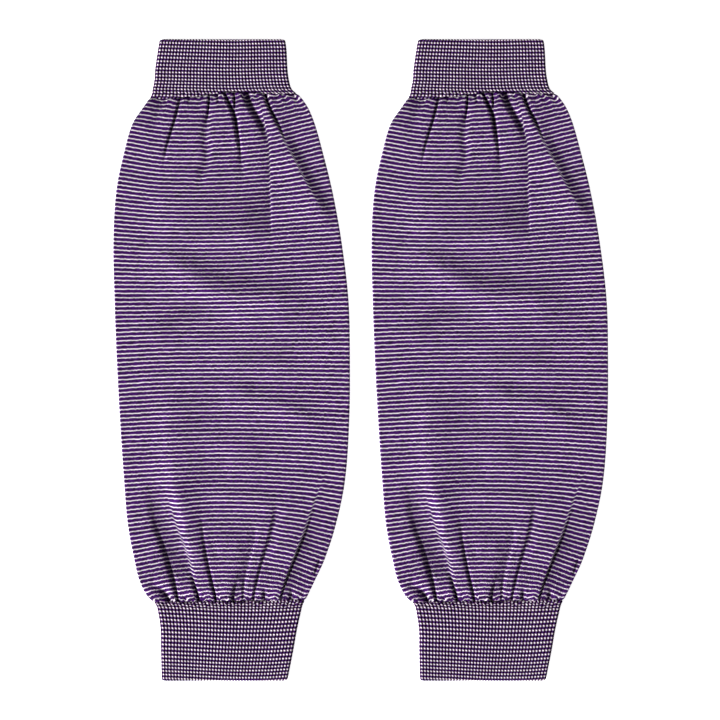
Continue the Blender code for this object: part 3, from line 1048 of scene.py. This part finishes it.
@dataclass(frozen=True)
class Body:
    """A sleeve's striped body: two layers of jersey, joined round at the side edges.

    Its ends run under_cuff into the cuffs. There it is lower by sink_height and narrower by
    sink_width on each side, and it rises out of the rib over twice sink_blend.
    """

    form: SleeveForm
    place: SleevePlace
    top_columns: int = 326
    under_columns: int = 44
    rows: int = 264
    edge_crowding: float = 0.35
    seam_crowding: float = 0.62
    under_cuff: float = 4.5
    sink_height: float = 2.6
    sink_width: float = 0.8
    sink_blend: float = 0.8
    wales: int = 310

    def top(self, share: np.ndarray, along: np.ndarray) -> TopLayer:
        """Shape the upper layer.

        Args:
            share: Places across, from -1 to 1, as a grid.
            along: Places along, as a grid.

        Returns:
            The layer.
        """
        form, edge = self.form, self.form.edge_height / 2
        sunk = 1.0 - smooth_step(-self.sink_blend, self.sink_blend, form.bared(share, along))
        half = form.half_width(share, along) - self.sink_width * sunk
        across = share * half
        folding = form.folding(share, across, along)
        height = form.plain_height(along) - self.sink_height * sunk + folding.relief
        above_edge = np.maximum(height, form.lowest) - edge
        height = edge + above_edge * rounding(half - np.abs(across), form.edge_round)
        stripes = (along - form.stripe_datum) / form.stripe_pitch - form.stripe_lift(share, along)
        return TopLayer(across, height, stripes - folding.slip, folding.gloom)

    def grid(self) -> KnitGrid:
        """Lay out the body's points and coordinates.

        Returns:
            The grid, from inside one cuff to inside the other.
        """
        form = self.form
        start, end = form.wrist_seam - self.under_cuff, form.elbow_seam + self.under_cuff
        along_rows = start + (end - start) * crowded(self.rows, self.seam_crowding)
        even = np.linspace(-1.0, 1.0, self.top_columns + 1)
        shares = even * (1.0 - self.edge_crowding) + self.edge_crowding * np.sin(math.pi * even / 2)
        share, along = np.meshgrid(shares, along_rows)
        top = self.top(share, along)
        under_shares = np.linspace(1.0, -1.0, self.under_columns + 1)[1:-1]
        under_share, under_along = np.meshgrid(under_shares, along_rows)
        half = form.half_width(under_share, under_along)
        under_across = under_share * half
        under_height = form.edge_height / 2 * (1.0 - rounding(half - np.abs(under_across), form.edge_round))
        under_stripes = [np.interp(row, shares, line) for row, line in zip(under_share, top.stripes)]
        points = self.place.metres(
            np.concatenate([top.across, under_across], axis=1),
            np.concatenate([along, under_along], axis=1),
            np.concatenate([top.height, under_height], axis=1),
        )
        steps = np.linalg.norm(np.diff(points, axis=1, append=points[:, :1]), axis=2)
        travelled = np.cumsum(np.pad(steps, ((0, 0), (1, 0))), axis=1)
        round_share = travelled / travelled[:, -1:]
        # A white course is a whole number in the rows above, and a half in the finishes.
        courses = np.concatenate([top.stripes, under_stripes, top.stripes[:, :1]], axis=1) + 0.5
        stitches = np.stack([round_share * self.wales, courses * COURSES_PER_STRIPE], axis=-1)
        row_share = (along_rows - start) / (end - start)
        bake = np.stack(np.broadcast_arrays(round_share.mean(axis=0), row_share[:, None]), axis=-1)
        gloom = np.concatenate([top.gloom, np.zeros(under_share.shape)], axis=1)
        return KnitGrid(points, stitches, bake, gloom)

    def build(self, material: bpy.types.Material) -> None:
        """Make the body and dress it.

        Args:
            material: The striped jersey.
        """
        side = self.place.side.value
        piece = self.grid().make(f"{side}_striped_body")
        length = self.form.elbow_seam - self.form.wrist_seam
        dress(piece, material, f"{side}_body", length)


@dataclass(frozen=True)
class Cuff:
    """A rib cuff: a flattened tube with a wall, ribbed all round and rolled at its mouth.

    The rolled rim turns plain purple between the depths in edging, and the ribs fade out
    between the depths in rib_fade. The stitches swell on the upper side only, from nothing
    to the full swell between the shares of the height in swell_start.
    """

    form: SleeveForm
    place: SleevePlace
    end: End
    dots: DotRows
    ribs: int = 86
    columns_per_rib: int = 7
    row_pitch: float = 0.42
    height: float = 4.5
    wall: float = 2.0
    rib_depth: float = 0.75
    rib_roundness: float = 0.6
    rib_fade: tuple[float, float] = (0.6, 1.8)
    edging: tuple[float, float] = (0.2, 0.5)
    stitch_swell: float = 0.10
    swell_start: tuple[float, float] = (0.25, 0.6)
    scallop: float = 0.45
    scallop_reach: float = 2.0
    rim_rows: int = 7
    inside_rows: int = 6
    seam_roll: float = 0.9
    seam_roll_reach: float = 0.8
    seam_wander: float = 0.7
    wander_waves: tuple[int, ...] = (3, 5, 8, 13, 21)
    wander_power: int = 3
    row_disorder: float = 0.22
    corner_round: float = 1.7
    inset: float = 0.0
    seed: int = 5

    @property
    def length(self) -> float:
        """Length from the mouth to the seam."""
        form = self.form
        return form.wrist_seam if self.end is End.WRIST else form.length - form.elbow_seam

    def along(self, from_mouth: np.ndarray) -> np.ndarray:
        """Turn a distance from the mouth into a place along the sleeve."""
        return from_mouth if self.end is End.WRIST else self.form.length - from_mouth

    def profile(self) -> np.ndarray:
        """List the rows of the wall from the seam out to the mouth and back inside.

        Returns:
            Rows of distance from the mouth and depth into the wall.
        """
        radius = self.wall / 2
        start = self.inset + radius
        outside = np.linspace(self.length, start, int(self.length / self.row_pitch))
        rim = np.linspace(0.0, math.pi, self.rim_rows + 2)[1:-1]
        inside = np.linspace(start, self.length, self.inside_rows)
        distance = np.concatenate([outside, start - radius * np.sin(rim), inside])
        depths = (np.zeros(len(outside)), radius - radius * np.cos(rim), np.full(len(inside), self.wall))
        return np.stack([distance, np.concatenate(depths)], axis=1)

    def ring(self, turn: np.ndarray, left: np.ndarray, right: np.ndarray) -> tuple[np.ndarray, np.ndarray]:
        """Follow the flattened tube's outside, from its left edge over the top and back.

        Args:
            turn: Places round the tube, from 0 to 1.
            left: Distance of the left edge from the centre line.
            right: Distance of the right edge.

        Returns:
            Points and outward directions, with across and height last.
        """
        radius = self.height / 2
        flat = left + right - 2 * radius
        quarter = math.pi * radius / 2
        travelled = turn * (2 * flat + 4 * quarter)
        on_top = np.clip(travelled - quarter, 0.0, flat)
        beneath = np.clip(travelled - 3 * quarter - flat, 0.0, flat)
        turned = np.clip(travelled, 0.0, quarter)
        turned = turned + np.clip(travelled - quarter - flat, 0.0, 2 * quarter)
        turned = turned + np.clip(travelled - 3 * quarter - 2 * flat, 0.0, quarter)
        angle = math.pi - turned / radius
        outward = np.stack([np.cos(angle), np.sin(angle)], axis=-1)
        centre = np.stack([radius - left + on_top - beneath, np.full(turn.shape, radius)], axis=-1)
        return centre + radius * outward, outward

    def wander(self, turn: np.ndarray, share: np.ndarray) -> np.ndarray:
        """How far the seam line strays towards the body, all round.

        Args:
            turn: Places round the tube, from 0 to 1.
            share: The same places across, from -1 to 1.

        Returns:
            The distance at each place.
        """
        random = np.random.default_rng(self.seed + len(self.end.value))
        total = np.zeros(turn.shape)
        for waves in self.wander_waves:
            total += np.sin(2 * math.pi * (waves * turn + random.uniform())) / math.sqrt(waves)
        return self.seam_wander * total - smooth_curve(share, STRIPE_COLUMNS, self.dots.dips)

    def grid(self) -> KnitGrid:
        """Lay out the cuff's points and coordinates.

        Returns:
            The grid, closed both ways.
        """
        profile = self.profile()
        columns = self.ribs * self.columns_per_rib
        turns = np.arange(columns + 1) / columns
        turn, from_mouth = np.meshgrid(turns, profile[:, 0])
        depth = np.broadcast_to(profile[:, 1:], turn.shape)
        along = self.along(from_mouth)
        flat, _ = self.ring(turn, *self.form.edges(along))
        across, height = flat[..., 0], flat[..., 1]
        share = across / self.form.half_width(across, along)
        nearness = np.clip(from_mouth / self.length, 0.0, 1.0) ** self.wander_power
        from_mouth = from_mouth + self.wander(turn, share) * nearness
        disorder = self.form.disorder(across, self.along(from_mouth))
        row_place = from_mouth - smooth_curve(share, STRIPE_COLUMNS, self.dots.bows)
        course = smooth_curve(row_place, self.dots.places, self.dots.numbers)
        course += smooth_step(*self.edging, depth) * (np.round(course) - course)
        course += self.row_disorder * disorder
        rib = np.abs(np.sin(math.pi * self.ribs * turn)) ** self.rib_roundness
        upper = smooth_step(*self.swell_start, height / self.height)
        swell = self.stitch_swell * -np.cos(2 * math.pi * course) * rib * upper
        seam_roll = self.seam_roll * (1.0 - rounding(self.length - profile[:, :1], self.seam_roll_reach))
        outside = 1.0 - smooth_step(*self.rib_fade, depth)
        inward = depth + outside * (self.rib_depth * (1.0 - rib) - swell + seam_roll)
        scallops = np.exp(-from_mouth / self.scallop_reach) * self.scallop * (1.0 - rib)
        along = self.along(from_mouth + scallops)
        left, right = self.form.edges(along)
        corner = self.corner_round * (1.0 - rounding(from_mouth - self.inset, self.corner_round))
        base, outward = self.ring(turn, left - corner, right - corner)
        ring = base - outward * inward[..., None]
        points = self.place.metres(ring[..., 0], along, ring[..., 1])
        way = -1.0 if self.end is End.WRIST else 1.0
        stitches = np.stack([way * turn * self.ribs, course * COURSES_PER_STRIPE], axis=-1)
        stitches = np.concatenate([stitches, stitches[:1]], axis=0)
        bake = np.stack(np.meshgrid(turns, np.linspace(0.0, 1.0, len(profile) + 1)), axis=-1)
        gloom = self.form.disorder_gloom * np.clip(disorder[:, :-1], 0.0, 1.0)
        return KnitGrid(points[:, :-1], stitches, bake, gloom, loops=True)

    def build(self, material: bpy.types.Material) -> None:
        """Make the cuff and dress it.

        Args:
            material: The dotted rib.
        """
        name = f"{self.place.side.value}_{self.end.value}"
        piece = self.grid().make(f"{name}_rib")
        dress(piece, material, f"{name}_cuff", self.length)


@dataclass(frozen=True)
class Sleeve:
    """One sleeve: a body between a wrist cuff and an elbow cuff."""

    form: SleeveForm
    side: Side

    def build(self, jersey: bpy.types.Material, rib: bpy.types.Material) -> None:
        """Make the sleeve's three pieces.

        Args:
            jersey: Material of the body.
            rib: Material of the cuffs.
        """
        place = SleevePlace.from_frame(self.side)
        Body(self.form, place).build(jersey)
        Cuff(self.form, place, End.WRIST, WRIST_DOTS).build(rib)
        Cuff(self.form, place, End.ELBOW, ELBOW_DOTS, row_disorder=0.08, inset=0.6).build(rib)


@dataclass(frozen=True)
class Studio:
    """A pale floor, soft light from the lower left, and a camera straight above."""

    frame_width: float = 0.4486
    camera_height: float = 1.8
    camera_x: float = -0.0002
    camera_y: float = -0.0003
    sensor_mm: float = 36.0
    far_clip: float = 20.0
    floor_size: float = 8.0
    floor_drop: float = 0.0002
    floor_glow: float = 0.85
    key_size: float = 2.0
    key_watts: float = 578.0
    key_place: tuple[float, float, float] = (-3.65, -2.87, 1.85)
    fill_strength: float = 0.24

    def floor(self) -> None:
        """Lay a pale floor under the sleeves, with a little light of its own, as a light table has."""
        half = self.floor_size / 2
        corners = [(-half, -half, 0.0), (half, -half, 0.0), (half, half, 0.0), (-half, half, 0.0)]
        mesh = bpy.data.meshes.new("floor")
        mesh.from_pydata(corners, [], [(0, 1, 2, 3)])
        piece = bpy.data.objects.new("floor", mesh)
        piece.location.z = -self.floor_drop
        bpy.context.scene.collection.objects.link(piece)
        tree = ShaderTree("pale_floor")
        inputs = {
            "Base Color": (0.93, 0.93, 0.93, 1.0),
            "Roughness": 0.95,
            "Specular IOR Level": 0.1,
            "Emission Color": (1.0, 1.0, 1.0, 1.0),
            "Emission Strength": self.floor_glow,
        }
        shader = tree.node("ShaderNodeBsdfPrincipled", inputs=inputs)
        tree.node("ShaderNodeOutputMaterial", inputs={"Surface": shader["BSDF"]})
        mesh.materials.append(tree.material)

    def key_light(self) -> None:
        """Hang a large soft light to the lower left."""
        light = bpy.data.lights.new("key", "AREA")
        light.shape = "DISK"
        light.size = self.key_size
        light.energy = self.key_watts
        lamp = bpy.data.objects.new("key", light)
        lamp.location = self.key_place
        aim = -lamp.location
        lamp.rotation_euler = aim.to_track_quat("-Z", "Y").to_euler()
        bpy.context.scene.collection.objects.link(lamp)

    def surround(self) -> None:
        """Fill the room with even white light."""
        world = bpy.data.worlds.new("white_room")
        world.use_nodes = True
        background = world.node_tree.nodes["Background"]
        background.inputs["Color"].default_value = (1.0, 1.0, 1.0, 1.0)
        background.inputs["Strength"].default_value = self.fill_strength
        bpy.context.scene.world = world

    def camera(self) -> None:
        """Set a long-lens camera straight above the middle of the pair."""
        data = bpy.data.cameras.new("camera")
        data.sensor_width = self.sensor_mm
        data.lens = self.sensor_mm * self.camera_height / self.frame_width
        data.clip_end = self.far_clip
        camera = bpy.data.objects.new("camera", data)
        camera.location = (self.camera_x, self.camera_y, self.camera_height)
        bpy.context.scene.collection.objects.link(camera)
        bpy.context.scene.camera = camera

    def build(self) -> None:
        """Set the floor, the light and the camera."""
        self.floor()
        self.key_light()
        self.surround()
        self.camera()
        bpy.context.scene.view_settings.view_transform = "Standard"


def main() -> None:
    """Build the pair in its studio."""
    logging.basicConfig(level=logging.INFO, format="%(name)s: %(message)s")
    Studio().build()
    jersey, rib = JerseyFinish().material(), RibFinish().material()
    form = form_from_frame()
    for side in Side:
        Sleeve(form, side).build(jersey, rib)


if __name__ == "__main__":
    main()
